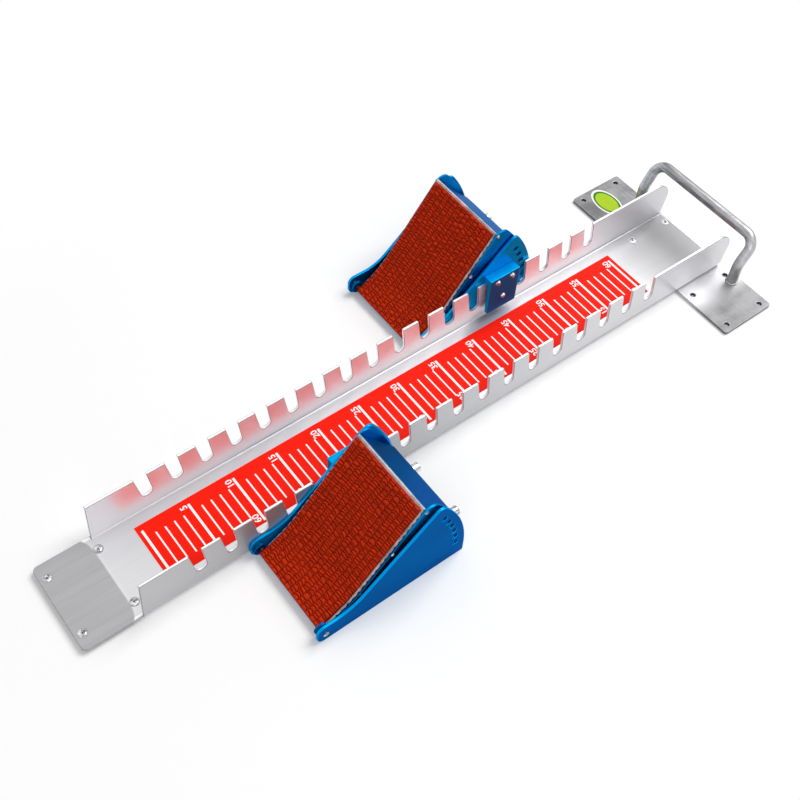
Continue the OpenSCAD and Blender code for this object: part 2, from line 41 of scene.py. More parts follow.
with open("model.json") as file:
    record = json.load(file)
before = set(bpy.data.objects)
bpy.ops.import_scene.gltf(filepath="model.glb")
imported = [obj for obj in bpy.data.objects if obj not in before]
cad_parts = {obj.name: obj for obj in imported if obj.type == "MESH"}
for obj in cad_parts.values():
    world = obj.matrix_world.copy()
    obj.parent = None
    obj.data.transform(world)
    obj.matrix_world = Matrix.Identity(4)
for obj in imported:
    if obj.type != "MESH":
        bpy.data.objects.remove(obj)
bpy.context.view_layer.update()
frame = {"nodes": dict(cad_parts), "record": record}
MM = 0.001
SIDES = ("left", "right")

# Where the scale's zero line and the two toe pivots lie in the frame, in millimetres.
ZERO_Y = -309.35
PIVOT_Z = 11.5
PIVOT_Y = {"left": -231.1, "right": 32.9}
TILT = {"left": 0.0, "right": 4.9}
RUBBER_X = (58.4, 152.0)

# The pad's surface, seen from the side with the toe pivot at the origin.
TOE_ANGLE = radians(22)
TOP_ANGLE = radians(47.5)
TOE_START = Vector((-3.8, -1.0))
TOE_RUN = 8.5
CURVE_R = 100.0
TOP_RUN = 98.0
RUBBER_T = 4.0

# The rail's tongue and its crease, and the sticker, in the scale's millimetres.
CREASE_Y = -45.8
TONGUE_Y = -101.5
TONGUE_X = 50.0
STICKER_AT = (-98.0, 666.25)
STICKER_SIZE = (46.5, 28.5)
STICKER_Z = (4.0, 4.3)

# Camera: rows of the turn from the frame to the picture (right, down, ahead), and its place.
CAMERA_TURN = (
    (0.60379842, 0.79587866, 0.04477297),
    (0.65956125, -0.46725857, -0.58876854),
    (-0.44766776, 0.38502803, -0.80706071),
)
CAMERA_AT = (0.528992, -0.481511, 0.974135)
CAMERA_LENS = 52.65


# Sizes and colours

def number_value(name, description, default, least, most, **more):
    return bpy.props.FloatProperty(name=name, description=description, default=default,
                                   min=least, max=most, **more)


def count_value(name, description, default, least, most):
    return bpy.props.IntProperty(name=name, description=description, default=default, min=least,
                                 max=most)


class RailSizes(bpy.types.PropertyGroup):
    edge: number_value("Broken edge", "Width of the broken edges of the rail",
                       0.00045, 0.0, 0.002, unit="LENGTH")
    grain: number_value("Grain", "Strength of the rolling grain", 0.10, 0.0, 1.0)
    rod_sides: count_value("Rod sides", "Sides of the handle's round rod", 40, 12, 96)


class PedalSizes(bpy.types.PropertyGroup):
    edge: number_value("Broken edge", "Width of the broken edges of the blue plates",
                       0.0005, 0.0, 0.002, unit="LENGTH")
    ribs: count_value("Ribs", "Ribs of the rubber across a pad", 14, 6, 40)
    lumps: count_value("Lumps", "Lumps of rubber along one rib", 50, 10, 80)
    relief: number_value("Relief", "Depth of the grooves between the ribs",
                         0.0021, 0.0002, 0.003, unit="LENGTH")
    ragged: number_value("Ragged", "How unevenly the lumps are cut", 0.44, 0.0, 0.5)


class ScaleSizes(bpy.types.PropertyGroup):
    print_height: number_value("Print thickness", "Thickness of the printed lines",
                               0.00004, 0.00001, 0.0002, unit="LENGTH")
    digit: number_value("Digit size", "Height of the scale's digits",
                        0.0096, 0.004, 0.02, unit="LENGTH")


def colour_value(name, thing, default):
    return bpy.props.FloatVectorProperty(name=name, description="Colour of " + thing,
                                         subtype="COLOR", default=default, min=0.0, max=1.0)


class FinishColours(bpy.types.PropertyGroup):
    rail: colour_value("Rail", "the rail's aluminium", (0.68, 0.68, 0.70))
    handle: colour_value("Handle", "the handle's aluminium", (0.50, 0.50, 0.51))
    blue: colour_value("Blue", "the anodised plates", (0.0004, 0.165, 0.385))
    # A brighter copy of the blue: the painted highlight of the plates' rims and broken edges.
    bright_blue: colour_value("Bright blue", "the anodised edges", (0.001, 0.300, 0.72))
    # A lighter copy of the blue, painted light on the inner plates.
    light_blue: colour_value("Light blue", "the inner plates", (0.0008, 0.40, 0.86))
    # A darker copy of the blue: painted shade on the cheeks.
    navy: colour_value("Navy", "the dark anodised cheeks", (0.0004, 0.082, 0.26))
    # A brighter copy of the blue: painted light on the hooks' shelves and bars.
    shelf: colour_value("Shelf", "the hooks' shelves and bars", (0.0008, 0.345, 0.68))
    # A greyer, darker copy of the blue: painted shade on the hooks' legs.
    hook: colour_value("Hook", "the hooks' legs", (0.026, 0.105, 0.285))
    rubber: colour_value("Rubber", "the red rubber", (0.56, 0.029, 0.0035))
    label: colour_value("Label", "the scale's film", (0.95, 0.012, 0.0015))
    lime: colour_value("Lime", "the sticker's field", (0.42, 0.62, 0.02))


class StageSizes(bpy.types.PropertyGroup):
    world_fill: number_value("World fill", "Plain light from all round on matt surfaces",
                             0.46, 0.0, 2.0)
    key_power: number_value("Main lamp", "Power of the large lamp", 125.0, 0.0, 500.0, unit="POWER")
    side_power: number_value("Side lamp", "Power of the lamp beside the camera",
                             5.0, 0.0, 200.0, unit="POWER")
    floor_glow: number_value("Floor glow", "How white the floor is beside the rail",
                             0.12, 0.0, 1.0, subtype="FACTOR")


GROUPS = {
    "blocks_rail": RailSizes, "blocks_pedals": PedalSizes, "blocks_scale": ScaleSizes,
    "blocks_finish": FinishColours, "blocks_stage": StageSizes,
}


# Shader maths

def arithmetic(operation, swapped=False):
    """A method of Flow that adds a Math node."""
    def method(self, other=0.0):
        first, second = (other, self) if swapped else (self, other)
        return self.holder.node("ShaderNodeMath", {"operation": operation}, {0: first, 1: second})
    return method


class Flow:
    """A socket of a node tree whose arithmetic adds Math nodes."""
    __add__ = __radd__ = arithmetic("ADD")
    __sub__ = arithmetic("SUBTRACT")
    __rsub__ = arithmetic("SUBTRACT", swapped=True)
    __mul__ = __rmul__ = arithmetic("MULTIPLY")
    __truediv__ = arithmetic("DIVIDE")
    __pow__ = arithmetic("POWER")
    most = arithmetic("MAXIMUM")
    root = arithmetic("SQRT")

    def __init__(self, holder, socket):
        self.holder, self.socket = holder, socket


class Tree:
    """A node tree that takes new nodes from one method."""

    def __init__(self, tree):
        self.tree = tree

    def feed(self, socket, value):
        if isinstance(value, Flow):
            self.tree.links.new(value.socket, socket)
        else:
            socket.default_value = value

    def node(self, kind, settings=None, inputs=None, output=0):
        made = self.tree.nodes.new(kind)
        for key, value in (settings or {}).items():
            setattr(made, key, value)
        for key, value in (inputs or {}).items():
            self.feed(made.inputs[key], value)
        return Flow(self, made.outputs[output])


class Finish(Tree):
    """A material whose shader is fed by nodes that this class adds."""

    def __init__(self, name, metallic=0.0, gleam=0.5, tint=(1, 1, 1, 1)):
        self.material = bpy.data.materials.new(name)
        self.material.use_nodes = True
        super().__init__(self.material.node_tree)
        self.shader = self.tree.nodes["Principled BSDF"]
        plain = {"Metallic": metallic, "Specular IOR Level": gleam, "Specular Tint": tint}
        for socket, value in plain.items():
            self.shader.inputs[socket].default_value = value

    def axes(self):
        """The place on the piece as three numbers."""
        at = self.node("ShaderNodeTexCoord", output="Object")
        split = self.tree.nodes.new("ShaderNodeSeparateXYZ")
        self.feed(split.inputs[0], at)
        return [Flow(self, s) for s in split.outputs]

    def clouds(self, scale, detail=3.0, rough=0.5, shift=(0, 0, 0)):
        """Noise over the piece; a plain number is the same scale all ways."""
        scale = scale if isinstance(scale, tuple) else (scale,) * 3
        at = self.node("ShaderNodeTexCoord", output="Object")
        place = self.node("ShaderNodeMapping", None,
                          {"Vector": at, "Scale": scale, "Location": shift})
        return self.node("ShaderNodeTexNoise", None,
                         {"Vector": place, "Scale": 1.0, "Detail": detail, "Roughness": rough})

    def band(self, value, low, high):
        """0 below low, 1 above high, and a smooth step between."""
        return self.node("ShaderNodeMapRange", {"interpolation_type": "SMOOTHSTEP"},
                         {"Value": value, "From Min": low, "From Max": high})

    def blend(self, factor, first, second):
        made = self.tree.nodes.new("ShaderNodeMix")
        made.data_type = "RGBA"
        self.feed(made.inputs["Factor"], factor)
        self.feed(made.inputs[6], first)
        self.feed(made.inputs[7], second)
        return Flow(self, made.outputs[2])

    def bump(self, height, strength, distance):
        made = self.tree.nodes.new("ShaderNodeBump")
        made.inputs["Strength"].default_value = strength
        made.inputs["Distance"].default_value = distance
        self.feed(made.inputs["Height"], height)
        self.feed(self.shader.inputs["Normal"], Flow(self, made.outputs[0]))

    def colour(self, value):
        self.feed(self.shader.inputs["Base Color"], value)

    def tint(self, factor, first, second):
        self.colour(self.blend(factor, first, second))

    def rough(self, value):
        self.feed(self.shader.inputs["Roughness"], value)


def shade(colour, factor):
    return tuple(min(1.0, c * factor) for c in colour) + (1.0,)


# Finishes

FINISHES = {}

# Zones of the rail's sheet: the faces of its walls, in metres from the middle, and the others
# along the scale, in millimetres.
WALL_INSIDE = (0.0462, 0.0474)
WALL_OUTSIDE = (0.0485, 0.0495)
FRONT_ZONE = (-40, 90)
FOLD_ZONE = (-48, 5)
REAR_ZONE = (575, 660)
SHADED_ZONE = (40, 620)
CREASE_FLARE = 0.0060

# How strongly each zone is painted: the _LIGHT numbers paint highlights and reflections towards the
# light end of the sheet's colour, the _SHADE numbers paint shade towards its dark end.
FRONT_LIGHT = 0.45
WALL_LIGHT = 0.80
FOLD_LIGHT = 0.22
REAR_LIGHT = 0.35
CREASE_LIGHT = 0.12
FLOOR_SHADE = 0.13
REAR_SHADE = 0.46
OUTSIDE_SHADE = 0.38
LEG_PAINTED_LIGHT = 0.45

# Zones of the cross plate, the handle and the cheeks, in metres: where the cross plate's wings are
# painted with reflection, where the handle's legs are painted light, and where the cheeks' painted
# shade gives way at their lobes.
BRIGHT_WING = (0.074, 0.108)
FAR_WING = (-0.060, -0.045)
LEG_OF_HANDLE = (0.066, 0.073)
LOBE_OF_CHEEK = (0.078, 0.094)

BLUE_TINT = (0.0, 0.26, 0.62, 1.0)
EDGE_TINT = (0.1, 0.6, 1.0, 1.0)


def finish_of(make):
    """The material that a finish's function makes, made once."""
    if make not in FINISHES:
        FINISHES[make] = make().material
    return FINISHES[make]


def colours():
    return bpy.context.scene.blocks_finish


def rolled_aluminium():
    """Sheet aluminium, rolled along the rail, with light and shade painted in zones; the tongue in
    front of the crease is painted duller as shade, and the crease has a painted highlight.
    """
    rail = colours().rail
    look = Finish("rolled_aluminium", metallic=0.85, gleam=0.3)
    grain = look.clouds((900, 9, 900), detail=2.0)
    stain = look.clouds((11, 7, 11), detail=5.0, rough=0.6)
    scratch = look.clouds((160, 5, 160), detail=5.0, rough=0.7)
    x, y, _ = look.axes()

    def past(zone):
        """0 before a zone of the scale, rising to 1 behind it."""
        return look.band(y, *((ZERO_Y + end) * MM for end in zone))

    flare = (x * x * (TONGUE_X * MM) ** -2) ** 4 * CREASE_FLARE
    before = (ZERO_Y + CREASE_Y) * MM - flare - y
    tongue = look.band(before, -0.0008, 0.0010)
    crease = look.band(before, -0.0040, -0.0004) * (1 - look.band(before, 0.0, 0.0014))
    wall = look.band(x * x, WALL_INSIDE[0] ** 2, WALL_INSIDE[1] ** 2)
    near_side = look.band(x, *WALL_OUTSIDE)
    rear = past(REAR_ZONE)
    # Painted light and painted shade by zone: lighter walls, front floor and rear outside; a darker
    # floor, more so at the rear, and a darker near outside towards the front.
    lit = (1 - past(FRONT_ZONE)) * wall * FRONT_LIGHT + wall * (1 - near_side) * WALL_LIGHT
    lit = lit + (1 - past(FOLD_ZONE)) * (1 - wall) * FOLD_LIGHT + near_side * rear * REAR_LIGHT
    dim = (1 - wall) * (rear * REAR_SHADE + FLOOR_SHADE)
    dim = dim + near_side * (OUTSIDE_SHADE - past(SHADED_ZONE) * OUTSIDE_SHADE)
    tone = look.blend(grain * 0.30 + stain * 0.40 + scratch * 0.30, shade(rail, 0.84),
                      shade(rail, 1.16))
    tone = look.blend(lit, tone, shade(rail, 1.42))
    tone = look.blend(dim, tone, shade(rail, 0.10))
    # Painted shade on the flat tongue in front of the crease.
    painted_tongue_shade = look.blend(grain * 0.45 + scratch * 0.55, shade(rail, 0.47), shade(rail, 0.72))
    sheet = look.blend(tongue, tone, painted_tongue_shade)
    # Painted highlight along the crease.
    look.tint(crease * CREASE_LIGHT, sheet, shade(rail, 1.35))
    look.rough(stain * 0.14 + grain * 0.10 + 0.26)
    look.feed(look.shader.inputs["Metallic"], 0.85 - wall * 0.20)
    look.bump(grain * 0.8 + stain * 0.3, bpy.context.scene.blocks_rail.grain, 0.00025)
    return look


def cross_rolled_aluminium():
    """The cross plate, rolled across the rail, with painted reflection: bright beside the near
    wall, darker outside it, and its far wing in tones of its own.
    """
    rail = colours().rail
    look = Finish("cross_rolled_aluminium", metallic=0.85, gleam=0.3)
    grain = look.clouds((9, 900, 900), detail=2.0)
    stain = look.clouds((34, 22, 30), detail=6.0, rough=0.66, shift=(3, 1, 0))
    x, _, _ = look.axes()
    mark = look.band(grain * 0.16 + stain * 0.84, 0.36, 0.66)
    near = look.blend(mark, shade(rail, 0.19), shade(rail, 0.34))
    # Painted reflection: bright beside the near wall, darker beyond it.
    near = look.blend(look.band(x + stain * 0.02, *BRIGHT_WING), shade(rail, 0.80), near)
    far = look.blend(mark, shade(rail, 0.21), shade(rail, 0.42))
    look.tint(look.band(x, *FAR_WING), far, near)
    look.rough(stain * 0.18 + grain * 0.10 + 0.28)
    look.bump(grain * 0.8 + stain * 0.3, bpy.context.scene.blocks_rail.grain, 0.00025)
    return look


def drawn_aluminium():
    """The handle's rod, with the marks of drawing and bending, and painted light on its legs."""
    handle = colours().handle
    look = Finish("drawn_aluminium", metallic=0.9, gleam=0.3)
    marks = look.clouds((30, 420, 300), detail=4.0, rough=0.65)
    patch = look.clouds((30, 90, 70), detail=5.0, rough=0.65)
    tone = look.band(marks * 0.6 + patch * 0.4, 0.32, 0.68)
    x, _, _ = look.axes()
    leg = look.band(x * x, LEG_OF_HANDLE[0] ** 2, LEG_OF_HANDLE[1] ** 2)
    bar = look.blend(tone, shade(handle, 0.30), shade(handle, 1.00))
    # Painted light on the legs.
    look.tint(leg * LEG_PAINTED_LIGHT, bar, shade(handle, 1.30))
    look.rough(patch * 0.16 + marks * 0.12 + 0.20)
    look.bump(marks + patch, 0.30, 0.0003)
    return look


def flecked(name, dark, light, gloss, scale, detail=2.0, **plain):
    """A finish that wanders between two colours, and its roughness with it."""
    look = Finish(name, **plain)
    fleck = look.clouds(scale, detail=detail)
    look.tint(fleck, dark, light)
    look.rough(fleck * gloss[0] + gloss[1])
    return look


def cut_aluminium():
    """Painted shade: a dark hairline on the rail's broken edges."""
    return flecked("cut_aluminium", (0.16, 0.16, 0.17, 1), (0.44, 0.44, 0.46, 1), (0.2, 0.35), 300,
                   detail=3.0, metallic=0.8, gleam=0.3)


def hole_shade():
    """Painted shade: the walls of the small holes and the bottoms of the screws' crosses, painted
    dark.
    """
    return flecked("hole_shade", (0.015, 0.015, 0.018, 1), (0.10, 0.10, 0.11, 1), (0.2, 0.4), 400,
                   metallic=0.5, gleam=0.2)


def screw_rim():
    """The sheet's own rim round a sunk screw."""
    return flecked("screw_rim", (0.36, 0.36, 0.37, 1), (0.62, 0.62, 0.64, 1), (0.1, 0.32), 300,
                   metallic=0.85, gleam=0.3)


def spring_steel():
    return flecked("spring_steel", (0.38, 0.38, 0.40, 1), (0.66, 0.66, 0.68, 1), (0.2, 0.25), 300,
                   metallic=1.0)


def label_print():
    """White ink of the scale."""
    return flecked("label_print", (0.90, 0.89, 0.88, 1), (0.97, 0.97, 0.97, 1), (0.1, 0.40), 300,
                   detail=3.0, gleam=0.2)


def anodised(name, colour, tint=BLUE_TINT, metallic=0.9):
    """Anodised sheet: brushed along the pedal under the colour, with a slow change of tone."""
    look = Finish(name, metallic=metallic, gleam=0.05, tint=tint)
    grain = look.clouds((260, 24, 700), rough=0.6)
    tone = look.clouds((18, 12, 18))
    look.tint(grain * 0.45 + tone * 0.55, shade(colour, 0.62), shade(colour, 1.34))
    look.rough(tone * 0.12 + grain * 0.14 + 0.22)
    look.bump(grain, 0.08, 0.0002)
    return look


def blue_anodised():
    return anodised("blue_anodised_sheet", colours().blue)


def light_blue_anodised():
    """The inner plates, painted as a lighter copy of the blue for the light that they catch from
    the rail.
    """
    return anodised("inner_plate_painted_light_sheet", colours().light_blue, metallic=0.8)


def shelf_blue():
    """The hook's shelf and bar, a brighter copy of the blue as painted light."""
    return anodised("shelf_painted_light_anodised", colours().shelf, metallic=0.6)


# Painted highlight on the rims and broken edges of the blue sheets.
def blue_edge():
    return anodised("blue_anodised_edge_highlight", colours().bright_blue, EDGE_TINT)


def navy_anodised():
    """The cheeks, painted dark as shade beside the mat, and painted bright blue on the lobes at
    their heads, where the painted shade ends.
    """
    look = anodised("cheek_painted_shade_sheet", colours().navy)
    _, _, z = look.axes()
    tone = look.clouds((18, 12, 18))
    look.tint(look.band(z + tone * 0.004, *LOBE_OF_CHEEK), shade(colours().navy, 1.0),
              shade(colours().blue, 1.65))
    return look


def hook_anodised():
    """The hook's leg, painted greyer and darker than the rest as a shaded copy of the blue."""
    return anodised("hook_leg_painted_shade_sheet", colours().hook, metallic=0.5)


def red_rubber():
    """Red rubber with painted shade in its grooves and painted light on its lumps, by the height of
    the relief.
    """
    rubber = colours().rubber
    look = Finish("red_rubber_relief", gleam=0.06)
    relief = look.node("ShaderNodeAttribute", {"attribute_name": "relief"}, output="Fac")
    speck = look.clouds(420)
    cloud = look.clouds(40)
    # Painted shade in the grooves and painted light on the lumps' tops.
    low = look.blend(look.band(relief, 0.04, 0.42), shade(rubber, 0.20), shade(rubber, 0.80))
    top = look.blend(speck * 0.45 + cloud * 0.55, shade(rubber, 0.84), shade(rubber, 1.40))
    look.tint(look.band(relief, 0.34, 0.92), low, top)
    look.rough(cloud * 0.15 + 0.42)
    look.bump(speck, 0.30, 0.0003)
    return look


def mat_backing():
    """The grey web that the rubber is glued to."""
    look = Finish("mat_backing_web", gleam=0.2)
    thread = look.clouds(900, detail=2.0)
    cloud = look.clouds(90, detail=4.0)
    look.tint(look.band(thread * 0.35 + cloud * 0.65, 0.32, 0.68),
              (0.33, 0.32, 0.36, 1), (0.90, 0.66, 0.61, 1))
    look.rough(cloud * 0.1 + 0.75)
    look.bump(thread, 0.3, 0.0002)
    return look


def label_film():
    """The scale's red film, painted darker towards its near edge as the near wall's shade."""
    film = colours().label
    look = Finish("label_film", gleam=0.10)
    ink = look.clouds((60, 24, 60), detail=4.0)
    x, _, _ = look.axes()
    look.tint(look.band(x, 0.012, 0.036) * 0.50 + ink * 0.16, shade(film, 1.04), shade(film, 0.66))
    look.rough(ink * 0.15 + 0.30)
    look.bump(ink, 0.04, 0.0003)
    return look


def sticker_film():
    """A plain oval sticker: white edge, green ring and a bare lime field."""
    lime = colours().lime
    look = Finish("sticker_film", gleam=0.15)
    x, y, _ = look.axes()
    across = (x - STICKER_AT[0] * MM) / (STICKER_SIZE[0] / 2 * MM)
    along = (y - (STICKER_AT[1] + ZERO_Y) * MM) / (STICKER_SIZE[1] / 2 * MM)
    out = (across * across + along * along).root()
    ink = look.clouds(90)
    field = look.blend(ink, shade(lime, 0.85), shade(lime, 1.12))
    green = look.blend(look.band(out, 0.72, 0.75), field, (0.02, 0.20, 0.012, 1))
    look.tint(look.band(out, 0.85, 0.88), green, (0.90, 0.91, 0.88, 1))
    look.rough(ink * 0.12 + 0.30)
    return look


def zinc_steel():
    """Bright screws, turned and plated."""
    look = Finish("zinc_steel", metallic=1.0)
    marks = look.clouds(900, detail=2.0)
    patch = look.clouds(260)
    look.tint(look.band(patch, 0.35, 0.62), (0.16, 0.16, 0.17, 1), (0.80, 0.80, 0.82, 1))
    look.rough(patch * 0.2 + marks * 0.1 + 0.15)
    look.bump(marks, 0.12, 0.0002)
    return look


def pin_steel():
    """Turned pins and knobs, with darker turning marks."""
    look = Finish("turned_pin_steel", metallic=1.0)
    rings = look.clouds((60, 60, 900), detail=2.0)
    look.tint(look.band(rings, 0.38, 0.60), (0.34, 0.34, 0.36, 1), (0.88, 0.88, 0.90, 1))
    look.rough(rings * 0.2 + 0.15)
    look.bump(rings, 0.12, 0.0002)
    return look


# Making pieces

SHARP_EDGE = radians(38)
ROUND_BELOW = radians(40)


def body_of_node(node):
    for body, members in frame["record"]["behaviour"]["bodies"].items():
        if node in members:
            return body
    raise RuntimeError("no body holds " + node)


def linked(name, data):
    """A new object in the scene."""
    made = bpy.data.objects.new(name, data)
    bpy.context.scene.collection.objects.link(made)
    return made


def finished(name, bm, body, material, replaces=(), smooth=True):
    """Turns a bmesh into a piece that rides on a body."""
    mesh = bpy.data.meshes.new(name)
    bm.to_mesh(mesh)
    bm.free()
    mesh.materials.append(material)
    mesh.polygons.foreach_set("use_smooth", [smooth] * len(mesh.polygons))
    piece = linked(name, mesh)
    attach(piece, body)
    if replaces:
        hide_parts(*replaces)
    return piece


def face_out(bm):
    bmesh.ops.recalc_face_normals(bm, faces=bm.faces)


def merged_copy(node):
    """A bmesh of a CAD node with its loose triangles joined into whole faces."""
    bm = bmesh.new()
    bm.from_mesh(frame["nodes"][node].data)
    bmesh.ops.remove_doubles(bm, verts=bm.verts, dist=2e-6)
    bmesh.ops.dissolve_degenerate(bm, dist=1e-6, edges=bm.edges)
    bmesh.ops.dissolve_limit(bm, angle_limit=radians(0.4), verts=bm.verts, edges=bm.edges)
    face_out(bm)
    return bm


def broken_edges(node, name, materials, width, choose=None):
    """A piece of the node's own shape whose sharp edges are broken in the last material."""
    bm = merged_copy(node)
    for face in bm.faces:
        face.material_index = choose(face) if choose else 0
    piece = finished(name, bm, body_of_node(node), materials[0], (node,))
    for material in materials[1:]:
        piece.data.materials.append(material)
    bevel = piece.modifiers.new("broken edges", "BEVEL")
    bevel.width = width
    bevel.segments = 2
    bevel.limit_method = "ANGLE"
    bevel.angle_limit = SHARP_EDGE
    bevel.use_clamp_overlap = False
    bevel.material = len(materials) - 1
    piece.modifiers.new("even faces", "WEIGHTED_NORMAL").weight = 50
    return piece


def tighten_corners(piece, corners, old, new):
    """Draws the rounded corners of a flat piece in to a smaller radius.

    A corner is its x and y, and the signs of the way out of the piece."""
    for v in piece.data.vertices:
        for x, y, out_x, out_y in corners:
            away = Vector((v.co.x / MM - (x - out_x * old), v.co.y / MM - (y - out_y * old)))
            beyond = away.x * out_x > -0.01 and away.y * out_y > -0.01
            if beyond and away.length > old * 0.8:
                at = away.normalized() * (away.length - old + new)
                v.co.x = (x - out_x * new + at.x) * MM
                v.co.y = (y - out_y * new + at.y) * MM
    piece.data.update()


def rim_of_plate(face):
    """1 for the faces that a plate's thickness shows, which take the plate's painted highlight (on
    a hook, the shelf's painted light), 0 for its two sheets' faces.
    """
    return 1 if abs(face.normal.x) < 0.5 else 0


def paint(node, material):
    mesh = frame["nodes"][node].data
    mesh.materials.clear()
    mesh.materials.append(material)


def ring(bm, centre, radius, sides, turn=Matrix.Identity(3)):
    """An open ring of edges round a centre."""
    place = Matrix.Translation(centre) @ turn.to_4x4()
    made = bmesh.ops.create_circle(bm, cap_ends=False, radius=radius, segments=sides, matrix=place)
    return list({e for v in made["verts"] for e in v.link_edges})


def edges_of(geometry):
    return [g for g in geometry if isinstance(g, bmesh.types.BMEdge)]


def verts_of(geometry):
    return [g for g in geometry if isinstance(g, bmesh.types.BMVert)]


def draw_on(bm, edges, step):
    """Extrudes a ring of edges by a step and returns the new ring."""
    made = bmesh.ops.extrude_edge_only(bm, edges=edges)["geom"]
    bmesh.ops.translate(bm, verts=verts_of(made), vec=step)
    return edges_of(made)


def bend(bm, edges, centre, axis, angle, steps):
    """Carries a ring of edges round a bend and returns its last ring."""
    made = bmesh.ops.spin(bm, geom=edges, cent=centre, axis=axis, dvec=(0, 0, 0), angle=angle,
                          steps=steps, use_merge=False, use_duplicate=False)
    return edges_of(made["geom_last"])


# Rail

# In millimetres, and along the rail from the scale's zero. Each pair of radii is that of the
# solid and that of the photo; a notch's end lies between two heights and leans with its slant.
TONGUE_R = (12.0, 5.5)
WALL_X = 46.0
CROSS_X = 125.0
CROSS_Y = (635.75, 707.75)
CROSS_R = (7.0, 3.2)
CROSS_RIM = 4.0
WING_X = 52.0
NOTCH_FROM = 22.0
NOTCH_PITCH = 33.0
NOTCH_END = (10.0, 26.0)
NOTCH_RAISE = 8.5
NOTCH_SLANT = 0.1357


def hole_of_wing(face):
    """1 for the walls of the cross plate's small holes."""
    at = face.calc_center_median() / MM
    across = WING_X < abs(at.x) < CROSS_X - CROSS_RIM
    along = CROSS_Y[0] + CROSS_RIM < at.y - ZERO_Y < CROSS_Y[1] - CROSS_RIM
    return 1 if abs(face.normal.z) < 0.5 and across and along else 0


def raise_notches(rail):
    """Shortens each notch to what the photo shows, apart from the two that hold a hook's key."""
    keys = [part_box(side + "_hook_block") for side in SIDES]
    first = (ZERO_Y + NOTCH_FROM) * MM
    for v in rail.data.vertices:
        floor_end = NOTCH_END[0] * MM < v.co.z < NOTCH_END[1] * MM
        middle = first + NOTCH_PITCH * MM * round((v.co.y - first) / (NOTCH_PITCH * MM))
        held = any((v.co.x > 0) == (low[0] > 0) and low[1] < middle < high[1]
                   for low, high in keys)
        if abs(v.co.x) > WALL_X * MM and floor_end and not held:
            v.co.z += NOTCH_RAISE * MM
            v.co.y -= NOTCH_RAISE * NOTCH_SLANT * MM
    rail.data.update()


def make_rail(sizes):
    shaded_edge = finish_of(cut_aluminium)
    rail = broken_edges("rail_channel", "rail_sheet",
                        (finish_of(rolled_aluminium), shaded_edge), sizes.edge)
    raise_notches(rail)
    front = TONGUE_Y + ZERO_Y
    tighten_corners(rail, [(sign * TONGUE_X, front, sign, -1) for sign in (1, -1)], *TONGUE_R)
    cross = broken_edges("cross_plate", "cross_plate_sheet",
                         (finish_of(cross_rolled_aluminium), finish_of(hole_shade), shaded_edge),
                         sizes.edge, hole_of_wing)
    ends = ((CROSS_Y[0] + ZERO_Y, -1), (CROSS_Y[1] + ZERO_Y, 1))
    tighten_corners(cross, [(sign * CROSS_X, y, sign, out) for sign in (1, -1) for y, out in ends],
                    *CROSS_R)


# The handle from its foot up, in millimetres.
HANDLE_X = 75.0
HANDLE_Y = 697.25 + ZERO_Y
HANDLE_Z = 4.0
HANDLE_RISE = 20.7
HANDLE_BEND_R = 22.0
HANDLE_LEAN = radians(30)
HANDLE_SLOPE = 13.0
HANDLE_CORNER_R = 15.0
ROD_R = 6.0


def make_handle(sizes):
    """Half of the rod is drawn up from its foot, bent twice and mirrored."""
    bm = bmesh.new()
    foot = Vector((HANDLE_X, HANDLE_Y, HANDLE_Z)) * MM
    rim = ring(bm, foot, ROD_R * MM, sizes.rod_sides)
    rim = draw_on(bm, rim, Vector((0, 0, HANDLE_RISE)) * MM)
    at = foot + Vector((0, 0, HANDLE_RISE)) * MM
    rim = bend(bm, rim, at + Vector((0, HANDLE_BEND_R, 0)) * MM, (-1, 0, 0), HANDLE_LEAN, 8)
    at += Vector((0, 1 - cos(HANDLE_LEAN), sin(HANDLE_LEAN))) * HANDLE_BEND_R * MM
    up = Vector((0, sin(HANDLE_LEAN), cos(HANDLE_LEAN)))
    rim = draw_on(bm, rim, up * HANDLE_SLOPE * MM)
    at += up * HANDLE_SLOPE * MM
    side = Vector((-1, 0, 0))
    rim = bend(bm, rim, at + side * HANDLE_CORNER_R * MM, up.cross(side), pi / 2, 16)
    at += (up + side) * HANDLE_CORNER_R * MM
    draw_on(bm, rim, Vector((-at.x, 0, 0)))
    bmesh.ops.remove_doubles(bm, verts=bm.verts, dist=2e-6)
    bmesh.ops.mirror(bm, geom=bm.verts[:] + bm.edges[:] + bm.faces[:], axis="X", merge_dist=2e-6)
    open_rims = [e for e in bm.edges if e.is_boundary]
    bmesh.ops.holes_fill(bm, edges=open_rims, sides=0)
    face_out(bm)
    rod = finished("handle_rod", bm, "rail",
                   finish_of(drawn_aluminium), ("carry_handle",))
    rod.data.set_sharp_from_angle(angle=ROUND_BELOW)
    make_welds()


WELD_R = 1.15
WELD_OFF = (0.1, 0.5)
WELD_STEPS = 60
WELD_SIDES = 10
WELD_WAVES = 26
WELD_SWELL = 0.28
WELD_LIFT = 0.02


